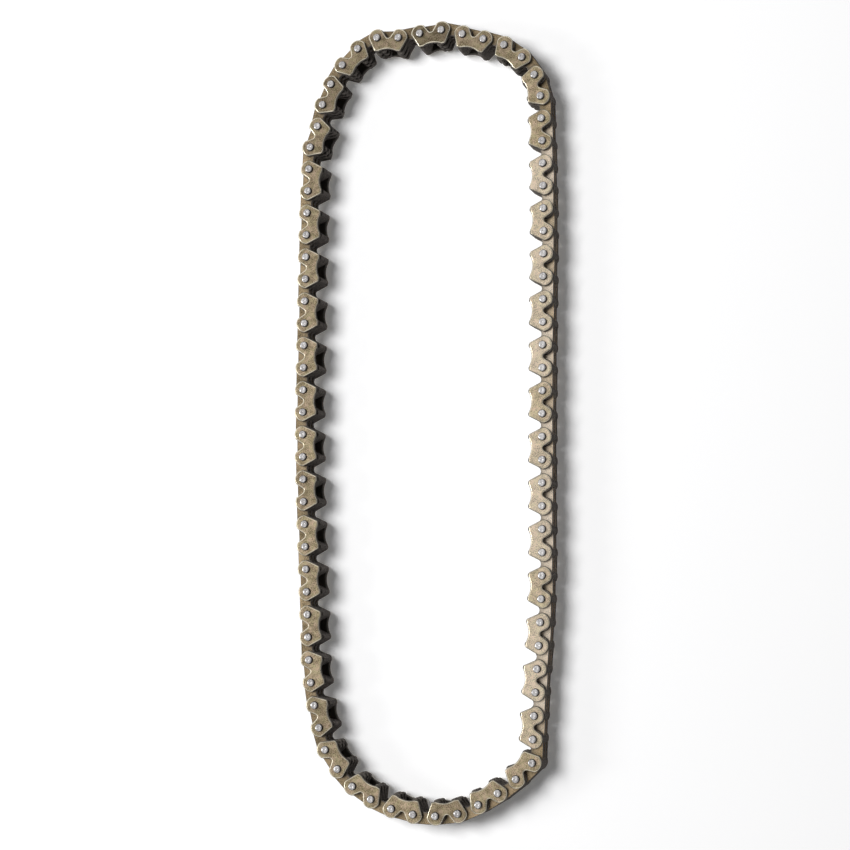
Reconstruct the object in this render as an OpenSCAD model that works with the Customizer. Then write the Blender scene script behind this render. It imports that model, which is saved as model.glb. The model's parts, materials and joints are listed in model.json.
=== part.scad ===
// Silent (inverted tooth) timing chain, lying on its side in a loose closed loop.
// Guide links carry two round pins each and alternate with joint links, whose plates
// fit between the guide link's plates and turn on its pins.
// +Z is up along the pins, +Y runs along the length of the loop, and the origin is
// under the middle of the loop, on the surface that the pin ends stand on.

/* [Chain] */
// Distance between the centres of neighbouring pins
pitch = 6.35; // [6.2:0.05:7.5]
// Toothed plates inside each guide link, one less than in a joint link
inner_plates = 2; // [1:1:4]
// Heading of the first guide link, in degrees from +X
first_heading = -17.1; // [-40:0.1:40]

/* [Plates] */
// Thickness of every plate
plate_t = 1.3; // [0.8:0.05:1.5]
// Side clearance between neighbouring plates
plate_gap = 0.02; // [0.01:0.01:0.08]
// Radius of the round eye about each pin
eye_r = 2.63; // [2.4:0.01:2.8]
// Lean of the tooth flanks from square to the link
flank_deg = 27; // [24:1:30]
// Reach of the toothed plates from the pin line to the tips of their toes
tooth_reach = 4.25; // [4:0.05:4.5]
// Reach of the guide plates from the pin line to their inner corners
guide_reach = 3.83; // [3.6:0.01:4]
// Radius that rounds the toes and the guide plates' corners
toe_r = 0.5; // [0.3:0.05:0.6]

/* [Hollows] */
// Radius of the root of the crotch between the two toes
crotch_r = 1.35; // [1.1:0.05:1.5]
// Distance from the pin line to the root of the crotch
crotch_floor = 0.64; // [0.4:0.02:1]
// Radius of the root of the notch in a guide plate's back
notch_r = 0.75; // [0.5:0.05:0.9]
// Distance from the pin line to the root of the notch
notch_floor = 0.08; // [0:0.02:0.5]
// Lean of each side of the notch
notch_deg = 34; // [30:1:38]
// Radius of the hollow in a guide plate's inner edge
arch_r = 5.7; // [5:0.1:8]
// Distance from the pin line to the crown of that hollow
arch_floor = 3.18; // [3:0.02:3.5]

/* [Pins] */
// Diameter of the round pins
pin_d = 2.2; // [1.8:0.05:2.6]
// Length of pin that stands proud of each guide plate
pin_proud = 0.83; // [0.4:0.01:1.2]
// Height of the crown that riveting leaves on a pin end
crown_h = 0.22; // [0.1:0.02:0.35]
// Width of the flat on top of the crown
crown_d = 1.3; // [1:0.05:1.6]
// Diameter of the centre mark in a pin end
dimple_d = 0.7; // [0.4:0.05:0.9]
// Depth of the centre mark
dimple_h = 0.12; // [0.06:0.02:0.2]
// Radial gap of a pin in the plates of its own guide link
seat_gap = 0.01; // [0.005:0.005:0.02]
// Radial gap of a pin in the plates that turn on it
run_gap = 0.03; // [0.02:0.01:0.06]

/* [Hidden] */
$fn = 48;
plate_colour = [0.74, 0.68, 0.56];
pin_colour = [0.84, 0.85, 0.87];

// How the loop lies, clockwise from the first pin: runs of pins, each with its count
// and its bend towards the inside of the loop in degrees. A bend below 0 is a back bend.
lie = [
    [2, 2], [3, 18.5], [1, 13.5],
    [7, 0.5], [12, 0], [5, 1], [4, -0.5],
    [1, 43], [3, 7], [1, 16.5], [4, 10], [1, 14], [1, 9], [1, 18],
    [4, 3.5], [6, 0], [6, 0.5], [6, 0], [4, 0.5],
    [1, 16.5], [1, -6], [2, 9.5], [1, 13], [1, 18], [1, 30], [1, -10.5], [1, 1.5], [1, 20.5]
];
drawn_bends = [for (run = lie) for (k = [1:run[0]]) run[1]];
links = len(drawn_bends);
last = links - 1;

// Sum of the first n + 1 values of a list
function sum(v, n) = n < 0 ? 0 : v[n] + sum(v, n - 1);

// Running totals of a list
function totals(v, k = 0, so_far = undef) =
    k == len(v) ? [] :
    let (now = is_undef(so_far) ? v[k] : so_far + v[k])
    concat([now], totals(v, k + 1, now));

// Heading of each link, from the bend at the pin where it starts
function headings(bends) =
    let (turned = totals(bends))
    [for (k = [0:last]) first_heading - turned[k] + bends[0]];

// Pin positions, one more than there are links, starting at the origin
function pins_along(bends) =
    let (h = headings(bends))
    concat([[0, 0]], totals([for (k = [0:last]) pitch * [cos(h[k]), sin(h[k])]]));

// How far one degree more bend at each pin moves the end of the chain
function levers(pins) =
    [for (k = [0:last]) let (arm = pins[links] - pins[k]) [arm[1], -arm[0]] * PI / 180];

// Smallest changes of bend, equal to a + b x + c y at each pin, that close the loop
function closed(bends, passes) =
    passes == 0 ? bends :
    let (
        pins = pins_along(bends),
        lever = levers(pins),
        rows = [for (k = [0:last]) [1, lever[k][0], lever[k][1]]],
        normal = [for (a = [0:2]) [for (b = [0:2]) sum([for (r = rows) r[a] * r[b]], last)]],
        miss = [sum(bends, last) - 360, pins[links][0], pins[links][1]],
        shift = solve3(normal, -miss)
    )
    closed([for (k = [0:last]) bends[k] + rows[k] * shift], passes - 1);

// Determinant of a 3 by 3 matrix
function det3(m) =
    m[0][0] * (m[1][1] * m[2][2] - m[1][2] * m[2][1])
    - m[0][1] * (m[1][0] * m[2][2] - m[1][2] * m[2][0])
    + m[0][2] * (m[1][0] * m[2][1] - m[1][1] * m[2][0]);

// Solution of three linear equations
function solve3(m, v) =
    [for (c = [0:2]) det3([for (r = [0:2]) [for (k = [0:2]) k == c ? v[r] : m[r][k]]]) / det3(m)];

bends = closed(drawn_bends, 3);
heading = headings(bends);
loose_pins = pins_along(bends);
loose_x = [for (k = [0:last]) loose_pins[k][0]];
loose_y = [for (k = [0:last]) loose_pins[k][1]];
middle = [max(loose_x) + min(loose_x), max(loose_y) + min(loose_y)] / 2;
pin_at = [for (k = [0:last]) loose_pins[k] - middle];

layers = 2 * inner_plates + 3;
layer_step = plate_t + plate_gap;
stack_h = layers * plate_t + (layers - 1) * plate_gap;
pin_l = stack_h + 2 * pin_proud;
pin_r = pin_d / 2;

// Corner angle that is left where a round root meets a straight side
blend_deg = 8;
web_top = eye_r * cos(blend_deg);
web_low = eye_r / 2;

// Links that are stiff with the next one: the first of each pair along the two long sides
stiff_pairs = concat([for (k = [8:2:28]) k], [for (k = [48:2:68]) k]);

// Bodies as [first link, last link], in order round the loop
bodies = [
    for (k = [0:last])
        if (len(search(k - 1, stiff_pairs)) == 0)
            [k, len(search(k, stiff_pairs)) > 0 ? k + 1 : k]
];

// Two-figure number of a link
function two_figures(k) = str(k + 1 < 10 ? "0" : "", k + 1);

function body_name(b) =
    b[0] != b[1] ? str("link_pair_", two_figures(b[0]), "_", two_figures(b[1])) :
    b[0] % 2 == 0 ? str("guide_link_", two_figures(b[0])) : str("joint_link_", two_figures(b[0]));

// Points on a round corner about a centre, from one direction to another
function corner(centre, r, from, to, steps = 4) =
    [for (k = [0:steps]) let (a = from + (to - from) * k / steps) centre + r * [cos(a), sin(a)]];

// Distance across from the pin to the flank, at a height below the pin line
function flank_x(down, inset = 0) = (eye_r * cos(flank_deg) - inset) / cos(flank_deg) - down * tan(flank_deg);

// Half width of the crotch, at a height below the pin line
function crotch_x(down) =
    (crotch_r * cos(blend_deg) + (down - crotch_floor - crotch_r) * sin(flank_deg)) / cos(flank_deg);

// Outer corner of a toe: it starts on the flank and ends pointing away from the pins
function outer_toe(reach) =
    corner([-flank_x(reach - toe_r, toe_r), toe_r - reach], toe_r, 180 + flank_deg, 270);

// Inner corner of a toothed plate's toe, up to the side of the crotch
function inner_toe() =
    corner(
        [pitch / 2 - crotch_x(tooth_reach - toe_r) - toe_r / cos(flank_deg), toe_r - tooth_reach],
        toe_r, 270, 360 - flank_deg
    );

// Points that mirror a list across the middle of the link, in turning order
function other_side(points) =
    [for (k = [len(points) - 1:-1:0]) [pitch - points[k][0], points[k][1]]];

// Upper half of the round eye at each pin
module eyes() {
    for (x = [0, pitch]) {
        translate([x, 0]) intersection() {
            circle(eye_r);
            translate([-eye_r, 0]) square([2 * eye_r, eye_r]);
        }
    }
}

// Holes for the two pins of a link
module bores(gap) {
    for (x = [0, pitch]) {
        translate([x, 0]) circle(pin_r + gap);
    }
}

// Toothed plate, with a straight back and two toes
module toothed_outline() {
    toe = concat([[-eye_r, 0]], outer_toe(tooth_reach), inner_toe());
    crotch_side = [pitch / 2 - crotch_x(crotch_floor + crotch_r), -crotch_floor - crotch_r];
    difference() {
        union() {
            eyes();
            square([pitch, web_top]);
            polygon(concat(toe, [crotch_side], other_side(concat(toe, [crotch_side]))));
        }
        translate([pitch / 2, -crotch_floor - crotch_r]) circle(crotch_r);
    }
}

// Guide plate, with a notched back and a hollow inner edge
module guide_outline() {
    side = concat([[-eye_r, 0]], outer_toe(guide_reach));
    root_y = notch_floor + notch_r;
    root_x = notch_r * cos(blend_deg) / cos(notch_deg);
    mouth_x = root_x + eye_r * tan(notch_deg);
    difference() {
        union() {
            eyes();
            square([pitch, web_low]);
            polygon(concat(side, other_side(side)));
        }
        translate([pitch / 2, root_y]) {
            circle(notch_r);
            polygon([[-root_x, 0], [root_x, 0], [mouth_x, eye_r], [-mouth_x, eye_r]]);
        }
        translate([pitch / 2, -arch_floor - arch_r]) circle(arch_r);
    }
}

// A plate in its layer, counted from the bottom of the stack
module in_layer(n) {
    translate([0, 0, pin_proud + n * layer_step]) linear_extrude(plate_t) children();
}

module guide_plate(n) {
    in_layer(n) difference() {
        guide_outline();
        bores(seat_gap);
    }
}

module toothed_plate(n, gap) {
    in_layer(n) difference() {
        toothed_outline();
        bores(gap);
    }
}

// Pin with a riveted crown and a centre mark at both ends
module pin() {
    crown_y = pin_l - crown_h;
    half = [[0, pin_l - dimple_h], [dimple_d / 2, pin_l], [crown_d / 2, pin_l], [pin_r, crown_y]];
    foot = [for (k = [len(half) - 1:-1:0]) [half[k][0], pin_l - half[k][1]]];
    rotate_extrude() polygon(concat(half, foot));
}

// Frame of a link: X runs from its first pin to its second, teeth towards -Y
module at_link(k) {
    translate([pin_at[k][0], pin_at[k][1], 0]) rotate(heading[k]) children();
}

module guide_link(k) {
    at_link(k) {
        color(plate_colour) {
            guide_plate(0);
            guide_plate(layers - 1);
            for (n = [2:2:layers - 3]) {
                toothed_plate(n, seat_gap);
            }
        }
        color(pin_colour) for (x = [0, pitch]) {
            translate([x, 0, 0]) pin();
        }
    }
}

module joint_link(k) {
    at_link(k) color(plate_colour) for (n = [1:2:layers - 2]) {
        toothed_plate(n, run_gap);
    }
}

module body(b) {
    for (k = [b[0]:b[1]]) {
        if (k % 2 == 0) guide_link(k);
        if (k % 2 == 1) joint_link(k);
    }
}

for (b = bodies) {
    body(b);
}
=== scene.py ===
"""Looks of a silent timing chain that lies on its side in a loose closed loop.

The chain's links are worked out from the way it lies, as in the CAD source. One guide plate, one toothed
plate and one pin are modelled, in millimetres, and copied to every link. Each copy is brought to metres in
the row's frame and joined with the other plates, or pins, of its body.
"""

import json
import logging
import math
import random
from collections.abc import Callable, Iterator
from contextlib import contextmanager
from dataclasses import dataclass, field
from enum import Enum

import bmesh
import bpy
from mathutils import Matrix, Vector

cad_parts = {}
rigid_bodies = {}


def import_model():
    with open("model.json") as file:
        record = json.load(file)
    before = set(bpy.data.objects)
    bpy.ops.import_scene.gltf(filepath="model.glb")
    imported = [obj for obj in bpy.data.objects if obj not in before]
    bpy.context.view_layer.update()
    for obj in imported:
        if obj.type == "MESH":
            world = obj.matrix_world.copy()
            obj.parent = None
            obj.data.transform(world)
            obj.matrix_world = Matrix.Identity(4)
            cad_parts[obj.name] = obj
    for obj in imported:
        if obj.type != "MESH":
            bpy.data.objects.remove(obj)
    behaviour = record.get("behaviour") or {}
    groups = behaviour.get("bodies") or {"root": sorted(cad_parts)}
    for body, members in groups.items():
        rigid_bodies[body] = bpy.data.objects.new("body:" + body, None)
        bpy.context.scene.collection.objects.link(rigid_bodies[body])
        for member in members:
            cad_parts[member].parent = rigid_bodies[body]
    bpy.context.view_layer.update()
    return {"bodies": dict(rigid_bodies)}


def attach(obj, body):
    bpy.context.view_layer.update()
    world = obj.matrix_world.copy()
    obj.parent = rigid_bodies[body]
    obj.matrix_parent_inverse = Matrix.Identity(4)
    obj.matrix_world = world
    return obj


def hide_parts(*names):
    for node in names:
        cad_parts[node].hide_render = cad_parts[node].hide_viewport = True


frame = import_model()

log = logging.getLogger("timing_chain")

MM = 0.001
LEVEL = 0.98
SMOOTH_DEG = 50.0
Point = tuple[float, float]
Colour = tuple[float, float, float]


# ---- Hand tools ----


def deselect_all() -> None:
    """Leaves nothing selected in object mode."""
    bpy.ops.object.select_all(action="DESELECT")


@contextmanager
def editing(obj: bpy.types.Object) -> Iterator[None]:
    """Opens one object in edit mode, with vertices as what is picked.

    Args:
        obj: The mesh object to shape.
    """
    deselect_all()
    obj.select_set(True)
    bpy.context.view_layer.objects.active = obj
    bpy.ops.object.mode_set(mode="EDIT")
    bpy.ops.mesh.select_mode(type="VERT")
    try:
        yield
    finally:
        bpy.ops.object.mode_set(mode="OBJECT")


def pick_vertices(obj: bpy.types.Object, test: Callable[[Vector], bool]) -> int:
    """Selects the vertices whose place passes a test, and nothing else.

    Args:
        obj: The object in edit mode.
        test: Tells from a vertex's place whether it is picked.

    Returns:
        How many vertices were picked.
    """
    bpy.ops.mesh.select_all(action="DESELECT")
    shape = bmesh.from_edit_mesh(obj.data)
    picked = 0
    for vertex in shape.verts:
        if test(vertex.co):
            vertex.select = True
            picked += 1
    shape.select_flush(True)
    bmesh.update_edit_mesh(obj.data)
    return picked


def pick_edges(obj: bpy.types.Object, test: Callable[[bmesh.types.BMEdge], bool]) -> int:
    """Selects the edges that pass a test, and nothing else.

    Args:
        obj: The object in edit mode.
        test: Tells from an edge whether it is picked.

    Returns:
        How many edges were picked.
    """
    bpy.ops.mesh.select_mode(type="EDGE")
    bpy.ops.mesh.select_all(action="DESELECT")
    shape = bmesh.from_edit_mesh(obj.data)
    picked = 0
    for edge in shape.edges:
        if test(edge):
            edge.select = True
            picked += 1
    bmesh.update_edit_mesh(obj.data)
    return picked


def apply_modifiers(obj: bpy.types.Object) -> None:
    """Applies every modifier of an object, in order.

    Args:
        obj: The object.
    """
    deselect_all()
    obj.select_set(True)
    bpy.context.view_layer.objects.active = obj
    for modifier in list(obj.modifiers):
        bpy.ops.object.modifier_apply(modifier=modifier.name)


def joined(parts: list[bpy.types.Object], name: str) -> bpy.types.Object:
    """Joins several objects to one.

    Args:
        parts: The objects, of which the first takes in the others.
        name: The name of the result and of its mesh.

    Returns:
        The joined object.
    """
    deselect_all()
    for part in parts:
        part.select_set(True)
    bpy.context.view_layer.objects.active = parts[0]
    if len(parts) > 1:
        bpy.ops.object.join()
    parts[0].name = name
    parts[0].data.name = name
    return parts[0]


def ramp(value: float, low: float, high: float) -> float:
    """How far a value has come from low to high, from 0 to 1."""
    return min(1.0, max(0.0, (value - low) / (high - low)))


class Pen:
    """Draws an outline of edges in edit mode, from a vertex that is already there."""

    def __init__(self, obj: bpy.types.Object, start: Point) -> None:
        """Picks the vertex that the line starts from.

        Args:
            obj: The object in edit mode.
            start: The place of that vertex, in millimetres.
        """
        self.obj = obj
        self.at = start
        near = Vector((start[0], start[1], 0.0))
        if pick_vertices(obj, lambda co: (co - near).length < 1e-3) != 1:
            raise ValueError(f"no single vertex at {start}")

    def line(self, x: float, y: float) -> None:
        """Extrudes the picked vertex along a straight line to a place.

        Args:
            x: The place's distance across, in millimetres.
            y: The place's distance up, in millimetres.
        """
        step = (x - self.at[0], y - self.at[1], 0.0)
        bpy.ops.mesh.extrude_vertices_move(TRANSFORM_OT_translate={"value": step})
        self.at = (x, y)

    def arc(self, centre: Point, turn: float, steps: int) -> None:
        """Spins the picked vertex round a centre.

        Args:
            centre: The centre of the arc.
            turn: How far it turns, in degrees, left round the centre where it is above 0.
            steps: How many straight pieces the arc has.
        """
        bpy.ops.mesh.spin(
            steps=steps, angle=math.radians(-turn), center=(*centre, 0.0), axis=(0.0, 0.0, 1.0)
        )
        arm = complex(self.at[0] - centre[0], self.at[1] - centre[1])
        arm *= complex(math.cos(math.radians(turn)), math.sin(math.radians(turn)))
        self.at = (centre[0] + arm.real, centre[1] + arm.imag)


# ---- How the chain lies ----


@dataclass(frozen=True)
class Link:
    """One link: its number round the loop, the middle between its pins, and its heading in radians."""

    number: int
    middle: Point
    heading: float

    @property
    def is_guide(self) -> bool:
        """Guide links carry the pins. They have the odd numbers."""
        return self.number % 2 == 1


@dataclass
class Loop:
    """The closed loop: runs of pins clockwise, each with its count and its bend in degrees."""

    pitch: float = 6.35
    first_heading: float = -17.1
    runs: tuple[tuple[int, float], ...] = (
        (2, 2), (3, 18.5), (1, 13.5), (7, 0.5), (12, 0), (5, 1), (4, -0.5),
        (1, 43), (3, 7), (1, 16.5), (4, 10), (1, 14), (1, 9), (1, 18),
        (4, 3.5), (6, 0), (6, 0.5), (6, 0), (4, 0.5),
        (1, 16.5), (1, -6), (2, 9.5), (1, 13), (1, 18), (1, 30), (1, -10.5), (1, 1.5), (1, 20.5),
    )  # fmt: skip

    def pins_along(self, bends: list[float]) -> tuple[list[complex], list[float]]:
        """Follows the bends round from the first pin.

        Args:
            bends: The bend at each pin, in degrees.

        Returns:
            The pins, one more than there are links, and each link's heading in degrees.
        """
        heading = self.first_heading + bends[0]
        pins, headings = [0j], []
        for bend in bends:
            heading -= bend
            headings.append(heading)
            step = complex(math.cos(math.radians(heading)), math.sin(math.radians(heading)))
            pins.append(pins[-1] + self.pitch * step)
        return pins, headings

    def closed(self, bends: list[float]) -> list[float]:
        """Changes the bends as little as it takes for the chain's end to meet its start.

        Args:
            bends: The bend at each pin, in degrees.

        Returns:
            The changed bends.
        """
        pins, _ = self.pins_along(bends)
        rows = []
        for pin in pins[:-1]:
            arm = (pins[-1] - pin) * math.pi / 180
            rows.append(Vector((1.0, arm.imag, -arm.real)))
        normal = Matrix([[sum(row[a] * row[b] for row in rows) for b in range(3)] for a in range(3)])
        miss = Vector((sum(bends) - 360, pins[-1].real, pins[-1].imag))
        shift = normal.inverted() @ -miss
        return [bend + row.dot(shift) for bend, row in zip(bends, rows)]

    def links(self) -> list[Link]:
        """Places every link, with the origin under the middle of the loop.

        Returns:
            The links in their order round the loop.
        """
        bends = [float(bend) for count, bend in self.runs for _ in range(count)]
        for _ in range(3):
            bends = self.closed(bends)
        pins, headings = self.pins_along(bends)
        across = [pin.real for pin in pins]
        along = [pin.imag for pin in pins]
        middle = complex(max(across) + min(across), max(along) + min(along)) / 2
        links = []
        for k, heading in enumerate(headings):
            centre = (pins[k] + pins[k + 1]) / 2 - middle
            links.append(Link(k + 1, (centre.real, centre.imag), math.radians(heading)))
        return links


# ---- Plates and pins ----


class Face(Enum):
    """What part of a plate or pin a face belongs to, as its finish reads it."""

    FLAT = 0.0
    RIM = 0.5
    WALL = 1.0


def is_flat(face: bmesh.types.BMFace | bpy.types.MeshPolygon) -> bool:
    """Tells whether a face lies level, up or down."""
    return abs(face.normal.z) > LEVEL


@dataclass
class PlateShape:
    """Sizes that both kinds of plate share, in millimetres. The teeth point to -Y."""

    pitch: float = 6.35
    thickness: float = 1.3
    eye_r: float = 2.63
    flank_deg: float = 27.0
    toe_r: float = 0.5
    bore_r: float = 1.11
    bore_land: float = 0.2
    eye_steps: int = 5
    toe_steps: int = 2
    bore_steps: int = 10

    @property
    def half(self) -> float:
        """Distance from the middle of the link to a pin."""
        return self.pitch / 2

    def flank_x(self, down: float, inset: float = 0.0) -> float:
        """Distance across from the pin to the flank, at a height below the pin line."""
        lean = math.radians(self.flank_deg)
        return (self.eye_r * math.cos(lean) - inset) / math.cos(lean) - down * math.tan(lean)

    def start(self, name: str) -> bpy.types.Object:
        """Adds the left eye as a circle and cuts it to its upper left quarter.

        Args:
            name: The name of the new object.

        Returns:
            The object, which stays in object mode.
        """
        deselect_all()
        bpy.ops.mesh.primitive_circle_add(
            vertices=4 * self.eye_steps, radius=self.eye_r, location=(-self.half, 0.0, 0.0)
        )
        obj = bpy.context.active_object
        obj.name = name
        bpy.ops.object.transform_apply(location=True, rotation=True, scale=True)
        pin = Vector((-self.half, 0.0, 0.0))
        with editing(obj):
            pick_vertices(obj, lambda co: (co - pin).x > 1e-4 or (co - pin).y < -1e-4)
            bpy.ops.mesh.delete(type="VERT")
        return obj

    def outer_toe(self, pen: Pen, reach: float) -> None:
        """Draws the flank and the round outer corner of the toe, down from the eye.

        Args:
            pen: The pen, at the eye's widest point.
            reach: Distance from the pin line to the tip of the toe.
        """
        lean = math.radians(self.flank_deg)
        centre = (-self.half - self.flank_x(reach - self.toe_r, self.toe_r), self.toe_r - reach)
        start_x = centre[0] - self.toe_r * math.cos(lean)
        start_y = centre[1] - self.toe_r * math.sin(lean)
        pen.line(start_x, start_y)
        pen.arc(centre, 90 - self.flank_deg, self.toe_steps)

    def close(self, obj: bpy.types.Object) -> None:
        """Mirrors the drawn half, adds the two bores and fills the flat shape.

        Args:
            obj: The object that holds the half outline.
        """
        mirror = obj.modifiers.new("other half", "MIRROR")
        mirror.use_axis = (True, False, False)
        mirror.use_mirror_merge = True
        mirror.merge_threshold = 1e-3
        apply_modifiers(obj)
        round_r = self.bore_r / math.cos(math.pi / self.bore_steps)
        with editing(obj):
            for side in (-1, 1):
                bpy.ops.mesh.primitive_circle_add(
                    vertices=self.bore_steps, radius=round_r, location=(side * self.half, 0.0, 0.0)
                )
            bpy.ops.mesh.select_all(action="SELECT")
            bpy.ops.mesh.remove_doubles(threshold=1e-3)
            bpy.ops.mesh.fill(use_beauty=True)
            bpy.ops.mesh.dissolve_limited(angle_limit=math.radians(1))

    def thicken(self, obj: bpy.types.Object, rim: float, rim_steps: int, lowest: float) -> None:
        """Gives the flat shape its thickness and rolls its outer rims.

        Args:
            obj: The object that holds the flat shape, at height 0.
            rim: Width of the rolled rim.
            rim_steps: How many faces the rim has across.
            lowest: Height that an edge is at least at to be rolled.
        """
        clear = self.bore_r + self.bore_land
        pins = (Vector((-self.half, 0.0)), Vector((self.half, 0.0)))

        def on_rim(edge: bmesh.types.BMEdge) -> bool:
            """Picks the edges between a flat and the outer wall.

            Args:
                edge: An edge of the plate.

            Returns:
                True where the edge is one of them.
            """
            if len(edge.link_faces) != 2 or edge.calc_face_angle() < math.radians(60):
                return False
            ends = [vertex.co for vertex in edge.verts]
            level = abs(ends[0].z - ends[1].z) < 1e-4 and ends[0].z >= lowest
            return level and all((end.xy - pin).length > clear for end in ends for pin in pins)

        with editing(obj):
            bpy.ops.mesh.select_all(action="SELECT")
            bpy.ops.mesh.extrude_region_move(
                TRANSFORM_OT_translate={"value": (0.0, 0.0, self.thickness)}
            )
            bpy.ops.mesh.select_all(action="SELECT")
            bpy.ops.mesh.normals_make_consistent(inside=False)
            pick_edges(obj, on_rim)
            bpy.ops.mesh.bevel(offset=rim, segments=rim_steps, affect="EDGES")
        mark_faces(obj, 0.6)
        with editing(obj):
            pick_edges(obj, lambda edge: sum(is_flat(face) for face in edge.link_faces) == 1)
            bpy.ops.mesh.mark_sharp()


@dataclass
class ToothedPlate(PlateShape):
    """Plate with a straight back, two toes and a crotch between them. Only its upper rim is rolled."""

    reach: float = 4.25
    crotch_r: float = 1.35
    crotch_floor: float = 0.64
    crotch_steps: int = 3
    rim: float = 0.12

    def build(self) -> bpy.types.Object:
        """Models the plate about the middle of its link, from height 0 up.

        Returns:
            The finished plate.
        """
        obj = self.start("toothed_plate")
        lean = math.radians(self.flank_deg)
        root = (0.0, -self.crotch_floor - self.crotch_r)
        side_x = root[0] - self.crotch_r * math.cos(lean)
        side_y = root[1] + self.crotch_r * math.sin(lean)
        toe_y = self.toe_r - self.reach
        wall_x = side_x - (side_y - toe_y) * math.tan(lean)
        toe_x = wall_x - self.toe_r / math.cos(lean)
        with editing(obj):
            Pen(obj, (-self.half, self.eye_r)).line(0.0, self.eye_r)
            pen = Pen(obj, (-self.half - self.eye_r, 0.0))
            self.outer_toe(pen, self.reach)
            pen.line(toe_x, -self.reach)
            pen.arc((toe_x, toe_y), 90 - self.flank_deg, self.toe_steps)
            pen.line(side_x, side_y)
            pen.arc(root, self.flank_deg - 90, self.crotch_steps)
        self.close(obj)
        self.thicken(obj, self.rim, 1, self.thickness / 2)
        return obj


@dataclass
class GuidePlate(PlateShape):
    """Outer plate with a notch in its back and a hollow inner edge."""

    reach: float = 3.83
    notch_r: float = 0.75
    notch_floor: float = 0.08
    notch_deg: float = 34.0
    mouth_r: float = 0.42
    arch_r: float = 5.7
    arch_floor: float = 3.18
    rim: float = 0.36
    corner_steps: int = 3
    hollow_steps: int = 4
    eye_steps: int = 9
    toe_steps: int = 3
    bore_steps: int = 20

    def mouth(self, side: Point, slope: Point) -> tuple[Point, float]:
        """Finds the round corner between the eye and the side of the notch.

        Args:
            side: A point on the side of the notch.
            slope: The direction up that side, one long.

        Returns:
            The centre of the corner, and the direction in degrees from the pin to it.
        """
        out = (-slope[1], slope[0])
        base = (side[0] + out[0] * self.mouth_r + self.half, side[1] + out[1] * self.mouth_r)
        reach = self.eye_r - self.mouth_r
        b = base[0] * slope[0] + base[1] * slope[1]
        c = base[0] ** 2 + base[1] ** 2 - reach**2
        along = -b + math.sqrt(b * b - c)
        centre = (base[0] + slope[0] * along, base[1] + slope[1] * along)
        return (centre[0] - self.half, centre[1]), math.degrees(math.atan2(centre[1], centre[0]))

    def build(self) -> bpy.types.Object:
        """Models the plate about the middle of its link, from height 0 up.

        Returns:
            The finished plate.
        """
        obj = self.start("guide_plate")
        lean = math.radians(self.notch_deg)
        root = (0.0, self.notch_floor + self.notch_r)
        side = (-self.notch_r * math.cos(lean), root[1] - self.notch_r * math.sin(lean))
        centre, direction = self.mouth(side, (-math.sin(lean), math.cos(lean)))
        with editing(obj):
            pen = Pen(obj, (-self.half, self.eye_r))
            pen.arc((-self.half, 0.0), direction - 90, self.corner_steps)
            pen.arc(centre, self.notch_deg - direction, self.corner_steps)
            pen.line(*side)
            pen.arc(root, 90 - self.notch_deg, self.hollow_steps)
            pen = Pen(obj, (-self.half - self.eye_r, 0.0))
            self.outer_toe(pen, self.reach)
            self.arch(pen)
        self.close(obj)
        self.thicken(obj, self.rim, 2, 0.0)
        return obj

    def arch(self, pen: Pen) -> None:
        """Draws the flat of the inner corner and the hollow, as far as the middle.

        Args:
            pen: The pen, at the bottom of the round inner corner.
        """
        centre_y = -self.arch_floor - self.arch_r
        corner_x = -math.sqrt(self.arch_r**2 - (centre_y + self.reach) ** 2)
        pen.line(corner_x, -self.reach)
        turn = math.degrees(math.atan2(-corner_x, -self.reach - centre_y))
        pen.arc((0.0, centre_y), -turn, self.hollow_steps)


@dataclass
class Pin:
    """Round pin with a riveted crown and a centre mark at both ends, standing on height 0."""

    length: float = 10.88
    radius: float = 1.1
    steps: int = 20
    crown: tuple[Point, ...] = (
        (1.1, 0.38), (1.05, 0.25), (0.94, 0.145), (0.78, 0.08), (0.57, 0.03), (0.34, 0.0), (0.24, 0.06),
        (0.1, 0.11),
    )  # fmt: skip

    def build(self) -> bpy.types.Object:
        """Models the pin about its own axis.

        Returns:
            The finished pin.
        """
        deselect_all()
        bpy.ops.mesh.primitive_circle_add(
            vertices=self.steps, radius=self.crown[-1][0], fill_type="NGON", location=(0.0, 0.0, 0.0)
        )
        obj = bpy.context.active_object
        obj.name = "pin"
        with editing(obj):
            bpy.ops.mesh.select_all(action="SELECT")
            bpy.ops.transform.translate(value=(0.0, 0.0, self.crown[-1][1]))
            radius, height = self.crown[-1]
            lower = list(reversed(self.crown[:-1]))
            upper = [(r, self.length - z) for r, z in self.crown]
            for next_radius, next_height in lower + upper:
                bpy.ops.mesh.extrude_region_move(
                    TRANSFORM_OT_translate={"value": (0.0, 0.0, next_height - height)}
                )
                scale = next_radius / radius
                bpy.ops.transform.resize(value=(scale, scale, 1.0))
                radius, height = next_radius, next_height
            bpy.ops.mesh.select_all(action="SELECT")
            bpy.ops.mesh.normals_make_consistent(inside=False)
        mark_faces(obj, 0.8)
        return obj


def mark_faces(obj: bpy.types.Object, rim_tilt: float) -> None:
    """Notes on each face whether it is flat, rim or wall, and shades the piece smooth.

    Args:
        obj: The finished plate or pin.
        rim_tilt: How steeply up or down a face of the rim must still point.
    """
    part = obj.data.attributes.new("part", "FLOAT", "FACE")
    for face, value in zip(obj.data.polygons, part.data):
        steep = abs(face.normal.z) > rim_tilt
        kind = Face.FLAT if is_flat(face) else Face.RIM if steep else Face.WALL
        value.value = kind.value
    deselect_all()
    obj.select_set(True)
    bpy.context.view_layer.objects.active = obj
    bpy.ops.object.shade_smooth_by_angle(angle=math.radians(SMOOTH_DEG))


# ---- Finishes ----


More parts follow.
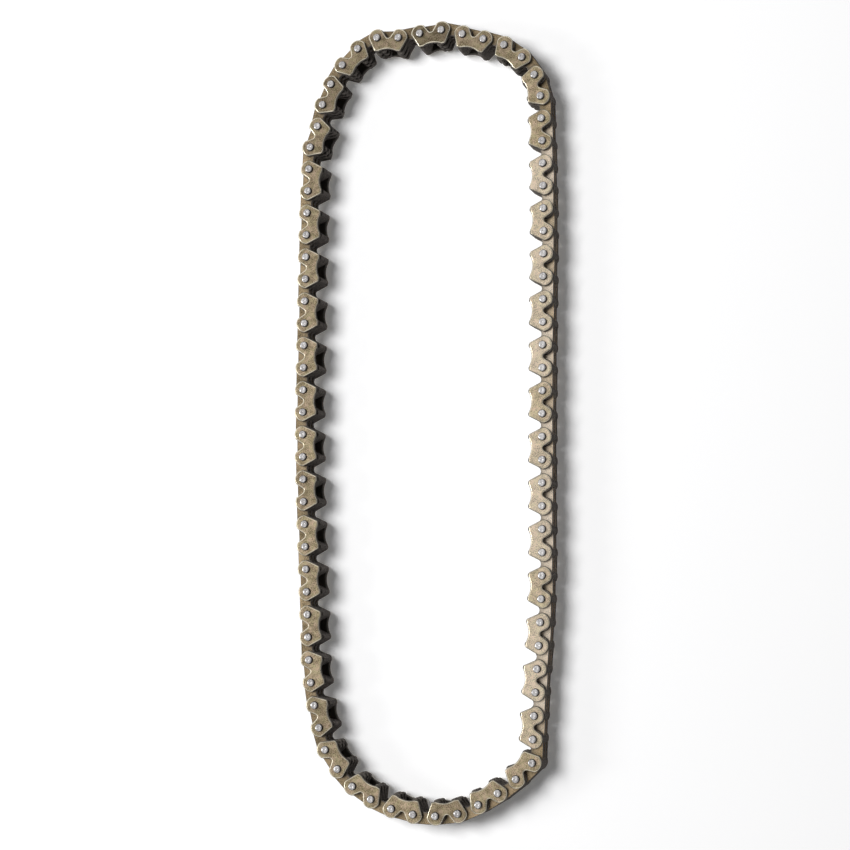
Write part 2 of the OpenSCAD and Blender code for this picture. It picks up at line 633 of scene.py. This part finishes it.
class Wire:
    """One output of a node, with the arithmetic that its value takes part in."""

    def __init__(self, board: "Board", socket: bpy.types.NodeSocket) -> None:
        """Holds a socket and the board it is on."""
        self.board = board
        self.socket = socket

    def _with(self, operation: str, *values: "Wire | float") -> "Wire":
        """Adds one Math node on the given values."""
        return self.board.node("ShaderNodeMath", {"operation": operation}, *values)

    def __add__(self, other: "Wire | float") -> "Wire":
        """Adds a value."""
        return self._with("ADD", self, other)

    def __mul__(self, other: "Wire | float") -> "Wire":
        """Multiplies by a value."""
        return self._with("MULTIPLY", self, other)

    def __sub__(self, other: "Wire | float") -> "Wire":
        """Takes a value away."""
        return self._with("SUBTRACT", self, other)

    def __rsub__(self, other: float) -> "Wire":
        """Is taken away from a value."""
        return self._with("SUBTRACT", other, self)

    __radd__ = __add__
    __rmul__ = __mul__

    def fade(self, low: float, high: float) -> "Wire":
        """Goes smoothly from 0 at low to 1 at high."""
        settings = {"interpolation_type": "SMOOTHSTEP"}
        return self.board.node("ShaderNodeMapRange", settings, self, low, high)


@dataclass
class Board:
    """The nodes of one material."""

    name: str
    owner: bpy.types.Material | bpy.types.World | None = None
    tree: bpy.types.NodeTree = field(init=False)

    def __post_init__(self) -> None:
        """Starts with no nodes, on a new material where no owner is given."""
        self.owner = self.owner or bpy.data.materials.new(self.name)
        self.owner.use_nodes = True
        self.tree = self.owner.node_tree
        self.tree.nodes.clear()

    def node(self, kind: str, settings: dict | None = None, *values: object, **named: object) -> Wire:
        """Adds a node.

        Args:
            kind: The node's type.
            settings: What is set on the node itself, first.
            values: Values or wires for its first sockets, in order.
            named: Values or wires for sockets by name, with _ for a space.

        Returns:
            The node's first output that is in use.
        """
        made = self.tree.nodes.new(kind)
        for key, value in (settings or {}).items():
            setattr(made, key, value)
        sockets = [socket for socket in made.inputs if socket.enabled]
        wanted = list(zip(sockets, values))
        for key, value in named.items():
            name = key.replace("_", " ")
            wanted.append((next(socket for socket in sockets if socket.name == name), value))
        for socket, value in wanted:
            if isinstance(value, Wire):
                self.tree.links.new(value.socket, socket)
            else:
                socket.default_value = value
        outputs = [socket for socket in made.outputs if socket.enabled]
        return Wire(self, outputs[0]) if outputs else Wire(self, None)

    def place(self) -> Wire:
        """The place on the piece, in metres in the row's frame."""
        made = self.tree.nodes.new("ShaderNodeTexCoord")
        return Wire(self, made.outputs["Object"])

    def mark(self, name: str) -> Wire:
        """A number that the mesh carries.

        Args:
            name: The name of the attribute.

        Returns:
            Its value.
        """
        made = self.tree.nodes.new("ShaderNodeAttribute")
        made.attribute_name = name
        return Wire(self, made.outputs["Fac"])

    def stretched(self, place: Wire, scale: Colour) -> Wire:
        """The place with each direction scaled."""
        return self.node("ShaderNodeMapping", {"vector_type": "POINT"}, place, Scale=scale)

    def grain(self, place: Wire, scale: float, detail: float = 2.0, rough: float = 0.5) -> Wire:
        """Cloudy noise from 0 to 1, with about scale spots in a metre."""
        sockets = {"Vector": place, "Scale": scale, "Detail": detail, "Roughness": rough}
        return self.node("ShaderNodeTexNoise", None, **sockets)

    def blend(self, share: "Wire | float", first: "Wire | Colour", second: "Wire | Colour") -> Wire:
        """Mixes two colours.

        Args:
            share: How much of the second colour shows, from 0 to 1.
            first: The first colour.
            second: The second colour.

        Returns:
            The mixed colour.
        """
        pair = [(*colour, 1.0) if isinstance(colour, tuple) else colour for colour in (first, second)]
        made = self.tree.nodes.new("ShaderNodeMix")
        made.data_type = "RGBA"
        for socket, value in zip([made.inputs[0], made.inputs[6], made.inputs[7]], [share, *pair]):
            if isinstance(value, Wire):
                self.tree.links.new(value.socket, socket)
            else:
                socket.default_value = value
        return Wire(self, made.outputs[2])

    def dimmed(self, colour: Wire, factor: Wire) -> Wire:
        """A colour times a number."""
        return self.node("ShaderNodeVectorMath", {"operation": "SCALE"}, colour, factor)

    def bump(self, height: Wire, depth: float, strength: float) -> Wire:
        """A surface normal from a height of 0 to 1 that stands for a depth in metres."""
        return self.node("ShaderNodeBump", None, Strength=strength, Distance=depth, Height=height)

    def surface(self, **sockets: object) -> bpy.types.Material:
        """Ends the board in one Principled surface.

        Args:
            sockets: Values or wires by socket name, with _ for a space.

        Returns:
            The finished material.
        """
        shader = self.node("ShaderNodeBsdfPrincipled", None, **sockets)
        self.node("ShaderNodeOutputMaterial", None, shader)
        return self.owner


@dataclass(frozen=True)
class StampedPlateSteel:
    """Bronze-coloured stamped plates with dark sheared walls, and rolled rims painted bright as a painted
    highlight.

    The toothed plates are redder, with rims as dark as their walls. Their toes and the faces of the guide
    plates that face into the stack carry painted shade, near black. Plates with a high tone, which carries
    painted light, are painted lighter and paler.
    """

    name: str = "stamped_plate_steel"
    olive: Colour = (0.66, 0.56, 0.345)
    rose: Colour = (0.75, 0.575, 0.41)
    inner: Colour = (0.62, 0.455, 0.27)
    # Painted highlight: the rims are painted bright.
    stain: Colour = (0.28, 0.22, 0.13)
    # Painted light: the colour that plates painted lighter turn towards.
    rim: Colour = (0.95, 0.88, 0.70)
    pale: Colour = (0.97, 0.87, 0.76)
    # Painted shade: near black, where the plates lie in each other's shade.
    oil: Colour = (0.085, 0.08, 0.072)
    wall: Colour = (0.30, 0.265, 0.235)
    wall_dark: Colour = (0.10, 0.092, 0.086)
    metallic: float = 0.62

    def make(self) -> bpy.types.Material:
        """Builds the material."""
        board = Board(self.name)
        place = board.place()
        part, tone, inside, oil = (board.mark(name) for name in ("part", "tone", "toothed", "oil"))
        on_wall = part.fade(0.55, 0.95)
        on_rim = part.fade(0.1, 0.45) * (1 - on_wall)
        clouds = board.grain(place, 520.0, 3.0, 0.6)
        tint = board.grain(board.stretched(place, (1.0, 1.0, 2.0)), 830.0, 2.0, 0.5)
        speckle = board.grain(place, 4200.0, 2.0, 0.65)
        flat = board.blend(tint.fade(0.36, 0.64), self.olive, self.rose)
        flat = board.blend(inside * 0.8, flat, self.inner)
        flat = board.blend((clouds * 0.45 + speckle * 0.55).fade(0.59, 0.42) * 0.85, flat, self.stain)
        # Painted light: plates with a high tone are painted lighter and paler.
        flat = board.blend(tone.fade(1.0, 1.4) * (0.4 + inside * 0.3), board.dimmed(flat, tone), self.pale)
        # Painted shade on the toothed plates' toes and the guide plates' inner faces, blotched by the
        # clouds.
        oil = (oil + clouds * 0.5).fade(0.35, 0.95)
        streaks = board.grain(board.stretched(place, (1.0, 1.0, 3.5)), 1500.0, 3.0, 0.7)
        wall = board.blend(streaks.fade(0.4, 0.75), self.wall_dark, self.wall)
        # Painted highlight on the guide plates' rims, weaker where the plates carry painted light.
        colour = board.blend(on_rim * (1 - inside) * (1.3 - tone * 0.65), flat, self.rim)
        colour = board.blend(oil * 0.95, colour, self.oil)
        colour = board.blend(on_wall + on_rim * inside, colour, wall)
        rough = 0.17 + speckle * 0.16 + clouds * 0.08 + on_wall * 0.35
        height = speckle * 0.7 + clouds * 0.3
        return board.surface(
            Base_Color=colour,
            Metallic=(self.metallic + on_rim * 0.25) * (1 - on_wall) * (1 - oil) * (1 - on_rim * inside),
            Roughness=rough,
            Specular_IOR_Level=0.0,
            Normal=board.bump(height, 0.000012, 0.5),
        )


@dataclass(frozen=True)
class RivetedPinSteel:
    """Bright ground pins whose walls and crown edges are painted near black as painted shade, and whose
    tops are painted brighter where their place carries painted light.
    """

    name: str = "riveted_pin_steel"
    bright: Colour = (0.93, 0.91, 0.90)
    dull: Colour = (0.44, 0.42, 0.42)
    # Painted shade: the walls and crown edges are painted near black.
    wall: Colour = (0.05, 0.045, 0.042)
    wall_pale: Colour = (0.16, 0.145, 0.135)

    def make(self) -> bpy.types.Material:
        """Builds the material."""
        board = Board(self.name)
        place = board.place()
        on_wall = board.mark("part").fade(0.55, 0.95)
        fine = board.grain(place, 6500.0, 2.0, 0.6)
        clouds = board.grain(place, 900.0, 2.0, 0.6)
        top = board.blend((fine * 0.5 + clouds * 0.5).fade(0.3, 0.7), self.dull, self.bright)
        # Painted light: pins are painted brighter where their place carries painted light.
        top = board.blend(board.mark("tone").fade(0.95, 1.4) * 0.6, top, self.bright)
        rings = board.grain(board.stretched(place, (1.0, 1.0, 9.0)), 700.0, 2.0, 0.6)
        # Painted shade on the walls and crown edges.
        wall = board.blend(rings.fade(0.35, 0.75), self.wall, self.wall_pale)
        colour = board.blend(on_wall, top, wall)
        return board.surface(
            Base_Color=colour,
            Metallic=0.66 - on_wall * 0.56,
            Roughness=0.17 + fine * 0.16 + on_wall * 0.3,
            Specular_IOR_Level=0.0,
            Normal=board.bump(fine * 0.2 + clouds * 0.8, 0.00003, 0.4),
        )


# ---- The chain ----


@dataclass
class Chain:
    """The whole chain: one of each plate and pin, copied to every link of every body."""

    loop: Loop = field(default_factory=Loop)
    toothed: ToothedPlate = field(default_factory=ToothedPlate)
    guide: GuidePlate = field(default_factory=GuidePlate)
    pin: Pin = field(default_factory=Pin)
    pin_proud: float = 0.83
    layer_step: float = 1.32
    guide_layers: tuple[int, ...] = (0, 6)
    inner_layers: tuple[int, ...] = (2, 4)
    joint_layers: tuple[int, ...] = (1, 3, 5)
    tone: float = 0.84
    tone_spread: float = 0.17
    tone_limit: float = 1.3
    # Painted light along the right side and painted shade at the top end, as multipliers of the plates' and
    # pins' colour.
    right_lift: float = 0.46
    top_drop: float = 0.2
    # Where the painted shade on the toothed plates' toes begins and where it is full, in millimetres below
    # the pin line.
    oily_toe: Point = (-0.6, 1.8)
    seed: int = 5

    def __post_init__(self) -> None:
        """Models the pieces that repeat and mixes their finishes."""
        self.dice = random.Random(self.seed)
        self.plate_finish = StampedPlateSteel().make()
        self.pin_finish = RivetedPinSteel().make()
        shapes = {"toothed": self.toothed, "guide": self.guide, "pin": self.pin}
        self.masters = {kind: shape.build() for kind, shape in shapes.items()}

    def copy(self, kind: str, link: Link, shift: Point, height: float) -> bpy.types.Object:
        """Puts a copy of one modelled piece on a link.

        Args:
            kind: Which modelled piece.
            link: The link that it belongs to.
            shift: Where its middle is in the link's own frame, in millimetres.
            height: The height of its lower face, in millimetres.

        Returns:
            The copy, in metres, in the row's frame.
        """
        master = self.masters[kind]
        twin = bpy.data.objects.new(kind, master.data.copy())
        bpy.context.collection.objects.link(twin)
        place = Matrix.Translation((*link.middle, height)) @ Matrix.Rotation(link.heading, 4, "Z")
        twin.data.transform(Matrix.Scale(MM, 4) @ place @ Matrix.Translation((*shift, 0.0)))
        # The tone differs at random and also carries the painted light and shade of the link's place.
        spread = self.tone_spread * (self.dice.random() * 2 - 1)
        tone = min(self.tone_limit, self.tone_at(link.middle) + spread)
        for name, value in (("tone", tone), ("toothed", float(kind == "toothed"))):
            mark = twin.data.attributes.new(name, "FLOAT", "FACE")
            mark.data.foreach_set("value", [value] * len(twin.data.polygons))
        # Painted shade, per vertex.
        oil = [self.oil_at(kind, height, point.co) for point in master.data.vertices]
        mark = twin.data.attributes.new("oil", "FLOAT", "POINT")
        mark.data.foreach_set("value", oil)
        return twin

    def tone_at(self, place: Point) -> float:
        """Tells how light the plates and pins are painted: painted light along the right side, painted
        shade at the top end.

        Args:
            place: The middle of the link.

        Returns:
            What the colour of its plates is multiplied by, before they differ at random.
        """
        right = ramp(place[0], 0.0, 30.0)
        top = ramp(place[1], 70.0, 100.0)
        low = ramp(-place[1], 76.0, 98.0)
        return self.tone + self.right_lift * right * (1 - top) * (1 - low) - self.top_drop * top

    def oil_at(self, kind: str, height: float, place: Vector) -> float:
        """Tells how much painted shade, near black, a place on a plate gets: on the toothed plates' toes
        and on the guide plates' faces that face into the stack.

        Args:
            kind: Which modelled piece.
            height: The height of its lower face.
            place: The place on the modelled piece.

        Returns:
            From 0 where it is bare to 1 where it is black.
        """
        if kind == "toothed":
            return ramp(-place.y, *self.oily_toe)
        if kind == "guide":
            is_lower = height < 2 * self.layer_step
            return float((place.z > self.guide.thickness / 2) == is_lower)
        return 0.0

    def plates_of(self, link: Link) -> list[bpy.types.Object]:
        """Copies the plates of one link, each to its layer.

        Args:
            link: The link.

        Returns:
            Its copies.
        """
        layers = [(layer, "toothed") for layer in self.joint_layers]
        if link.is_guide:
            layers = [(layer, "guide") for layer in self.guide_layers]
            layers += [(layer, "toothed") for layer in self.inner_layers]
        heights = [(kind, self.pin_proud + layer * self.layer_step) for layer, kind in layers]
        return [self.copy(kind, link, (0.0, 0.0), height) for kind, height in heights]

    def pins_of(self, link: Link) -> list[bpy.types.Object]:
        """Copies the two pins of a guide link."""
        half = self.loop.pitch / 2
        return [self.copy("pin", link, (side * half, 0.0), 0.0) for side in (-1, 1)]

    def finish(
        self, parts: list[bpy.types.Object], body: str, what: str, finish: bpy.types.Material
    ) -> None:
        """Joins copies to one piece and hands it to its body.

        Args:
            parts: The copies.
            body: The body, which has the same name as its one node.
            what: What the piece holds, as the end of its name.
            finish: Its material.
        """
        piece = joined(parts, f"{body}_{what}")
        piece.data.materials.clear()
        piece.data.materials.append(finish)
        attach(piece, body)
        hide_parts(body)
        log.info("%s: %d solids, %d faces", piece.name, len(parts), len(piece.data.polygons))

    def build(self) -> None:
        """Builds every body's plates and pins, and removes the models that they were copied from."""
        links = {link.number: link for link in self.loop.links()}
        for body in frame["bodies"]:
            numbers = [int(word) for word in body.split("_") if word.isdigit()]
            own = [links[number] for number in numbers]
            plates = [plate for link in own for plate in self.plates_of(link)]
            self.finish(plates, body, "plates", self.plate_finish)
            pins = [pin for link in own if link.is_guide for pin in self.pins_of(link)]
            if pins:
                self.finish(pins, body, "pins", self.pin_finish)
        for master in self.masters.values():
            bpy.data.objects.remove(master)


# ---- The studio ----


@dataclass
class Studio:
    """White floor, soft light from the upper left, and the photograph's camera."""

    floor_size: float = 4.0
    floor_colour: Colour = (0.95, 0.95, 0.955)
    camera_place: Colour = (0.148313, -0.052492, 0.563914)
    camera_tilt: Point = (5.009, 14.905)
    focal_mm: float = 87.36
    floor_glow: float = 0.12
    white_from: Point = (0.16, 0.4)
    key_place: Colour = (-0.44, 0.16, 1.08)
    key_size: float = 0.52
    key_power: float = 13.2
    edge_place: Colour = (-1.0, -0.12, 0.6)
    edge_size: float = 0.3
    edge_power: float = 2.8
    sky_diffuse: float = 0.08
    side: Colour = (-1.0, 0.12, 0.0)
    ceiling_dark: float = 0.7
    ceiling_from: Point = (0.18, 0.3)
    ceiling_to: Point = (0.55, 0.8)
    flag_dark: float = 0.88
    flag_from: Point = (-0.02, -0.3)
    flag_height: Point = (0.3, 0.55)

    def floor(self) -> None:
        """Adds the pale floor that the chain lies on, which is seen plain white away from the chain."""
        deselect_all()
        bpy.ops.mesh.primitive_plane_add(size=self.floor_size, location=(0.0, 0.0, 0.0))
        floor = bpy.context.active_object
        floor.name = "floor"
        board = Board("white_floor")
        rays = board.tree.nodes.new("ShaderNodeLightPath")
        seen = Wire(board, rays.outputs["Is Camera Ray"]) + Wire(board, rays.outputs["Is Glossy Ray"])
        seen = seen + Wire(board, rays.outputs["Is Transmission Ray"])
        paper = board.node("ShaderNodeBsdfDiffuse", None, Color=(*self.floor_colour, 1.0))
        strength = seen * self.floor_glow
        glow = board.node("ShaderNodeEmission", None, Color=(1.0, 1.0, 1.0, 1.0), Strength=strength)
        near = board.node("ShaderNodeAddShader", None, paper, glow)
        white = board.node("ShaderNodeEmission", None, Color=(1.0, 1.0, 1.0, 1.0), Strength=1.0)
        away = board.node("ShaderNodeVectorMath", {"operation": "LENGTH"}, board.place())
        share = away.fade(*self.white_from) * seen
        both = board.node("ShaderNodeMixShader", None, share, near, white)
        board.node("ShaderNodeOutputMaterial", None, both)
        floor.data.materials.append(board.owner)

    def light(self) -> None:
        """Adds a soft lamp high on the left and a small one lower down, in white surroundings.

        Metal also sees a darker band high on the left and a dark flag high on the right.
        """
        self.lamp("key_lamp", self.key_place, self.key_size, self.key_power).visible_glossy = False
        self.lamp("edge_lamp", self.edge_place, self.edge_size, self.edge_power)
        world = bpy.data.worlds.new("studio")
        world.use_nodes = True
        board = Board("studio", world)
        rays = board.tree.nodes.new("ShaderNodeLightPath")
        seen = Wire(board, rays.outputs["Is Camera Ray"]) + Wire(board, rays.outputs["Is Transmission Ray"])
        glossy = Wire(board, rays.outputs["Is Glossy Ray"])
        sky = board.tree.nodes.new("ShaderNodeTexCoord")
        way = Wire(board, sky.outputs["Generated"])
        side = board.node("ShaderNodeVectorMath", {"operation": "DOT_PRODUCT"}, way, self.side)
        ceiling = side.fade(*self.ceiling_from) * (1 - side.fade(*self.ceiling_to))
        high = board.node("ShaderNodeVectorMath", {"operation": "DOT_PRODUCT"}, way, (0.0, 0.0, 1.0))
        flag = side.fade(*self.flag_from) * high.fade(*self.flag_height)
        gleam = (1 - self.ceiling_dark * ceiling) * (1 - self.flag_dark * flag)
        strength = self.sky_diffuse * (1 - seen - glossy) + seen + glossy * gleam
        white = board.node("ShaderNodeBackground", None, Strength=strength)
        board.node("ShaderNodeOutputWorld", None, white)
        bpy.context.scene.world = world

    def lamp(self, name: str, place: Colour, size: float, power: float) -> bpy.types.Object:
        """Adds a square lamp that points at the chain.

        Args:
            name: The lamp's name.
            place: Where it stands.
            size: Its width.
            power: Its power in watts.

        Returns:
            The lamp.
        """
        data = bpy.data.lights.new(name, "AREA")
        data.size = size
        data.energy = power
        lamp = bpy.data.objects.new(name, data)
        bpy.context.collection.objects.link(lamp)
        lamp.location = place
        lamp.rotation_euler = (-Vector(place)).to_track_quat("-Z", "Y").to_euler()
        return lamp

    def camera(self) -> None:
        """Adds the camera at the photograph's viewing angle."""
        data = bpy.data.cameras.new("camera")
        data.lens = self.focal_mm
        data.sensor_width = 36.0
        data.sensor_fit = "HORIZONTAL"
        data.clip_start = 0.01
        camera = bpy.data.objects.new("camera", data)
        bpy.context.collection.objects.link(camera)
        camera.location = self.camera_place
        camera.rotation_euler = (*(math.radians(tilt) for tilt in self.camera_tilt), 0.0)
        bpy.context.scene.camera = camera

    def build(self) -> None:
        """Sets up floor, light, camera and the plain colour transform."""
        self.floor()
        self.light()
        self.camera()
        bpy.context.scene.view_settings.view_transform = "Standard"


def main() -> None:
    """Builds the studio and the chain."""
    logging.basicConfig(level=logging.INFO, format="%(message)s")
    Studio().build()
    Chain().build()
    bpy.context.view_layer.update()


if __name__ == "__main__":
    main()
